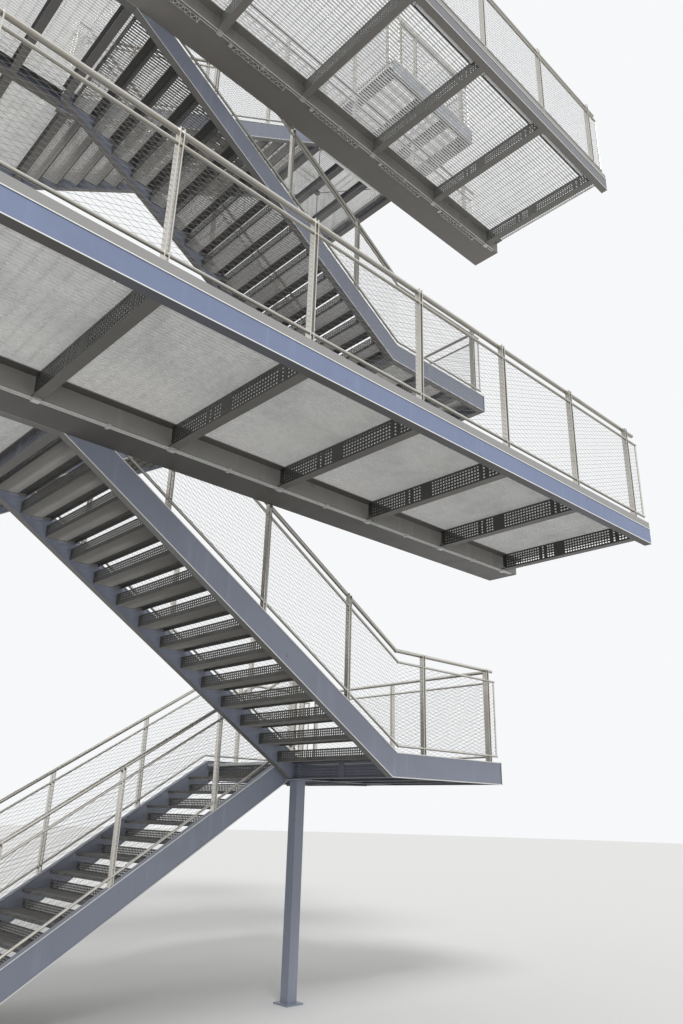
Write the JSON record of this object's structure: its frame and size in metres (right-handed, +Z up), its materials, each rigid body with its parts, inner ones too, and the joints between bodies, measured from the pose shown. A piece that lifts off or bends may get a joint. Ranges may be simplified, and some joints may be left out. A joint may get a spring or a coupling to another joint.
{
  "type": "fire escape stair tower",
  "caption": "switchback steel escape stair on one post, with folded treads, level landings and two open galleries on perforated cross beams, railed all round",
  "frame": {"origin": "middle of the underside of the foot plate of the post under the first half landing", "axes": "+Z up, X along the galleries and the flights, +Y from the galleries into the stair"},
  "size_m": [7.367, 5.412, 12.9939],
  "materials": {
    "painted_steel": "satin blue grey paint, dusty, with rust at joints",
    "galvanised_steel": "dull galvanised steel with weathering",
    "stainless_steel": "brushed stainless tube and flat bar"
  },
  "bodies": {
    "root": {"support_post": "painted_steel", "flight_1_stringers": "painted_steel", "flight_1_treads": "galvanised_steel", "flight_1_railings": "stainless_steel", "flight_2_stringers": "painted_steel", "flight_2_treads": "galvanised_steel", "flight_2_railings": "stainless_steel", "flight_3_stringers": "painted_steel", "flight_3_treads": "galvanised_steel", "flight_3_railings": "stainless_steel", "flight_4_stringers": "painted_steel", "flight_4_treads": "galvanised_steel", "flight_4_railings": "stainless_steel", "flight_5_stringers": "painted_steel", "flight_5_treads": "galvanised_steel", "flight_5_railings": "stainless_steel", "half_landing_1_frame": "painted_steel", "half_landing_1_deck": "galvanised_steel", "half_landing_1_railing": "stainless_steel", "half_landing_2_frame": "painted_steel", "half_landing_2_deck": "galvanised_steel", "half_landing_2_railing": "stainless_steel", "half_landing_3_frame": "painted_steel", "half_landing_3_deck": "galvanised_steel", "half_landing_3_railing": "stainless_steel", "half_landing_3_edge_channel": "painted_steel", "floor_landing_1_frame": "painted_steel", "floor_landing_1_deck": "galvanised_steel", "floor_landing_1_railing": "stainless_steel", "gallery_1_outer_beam": "painted_steel", "gallery_1_inner_beam": "painted_steel", "gallery_1_cross_beams": "painted_steel", "gallery_1_deck": "galvanised_steel", "gallery_1_railings": "stainless_steel", "floor_landing_2_frame": "painted_steel", "floor_landing_2_deck": "galvanised_steel", "floor_landing_2_railing": "stainless_steel", "gallery_2_outer_beam": "painted_steel", "gallery_2_inner_beam": "painted_steel", "gallery_2_cross_beams": "painted_steel", "gallery_2_deck": "galvanised_steel", "gallery_2_railings": "stainless_steel"}
  },
  "joints": []
}
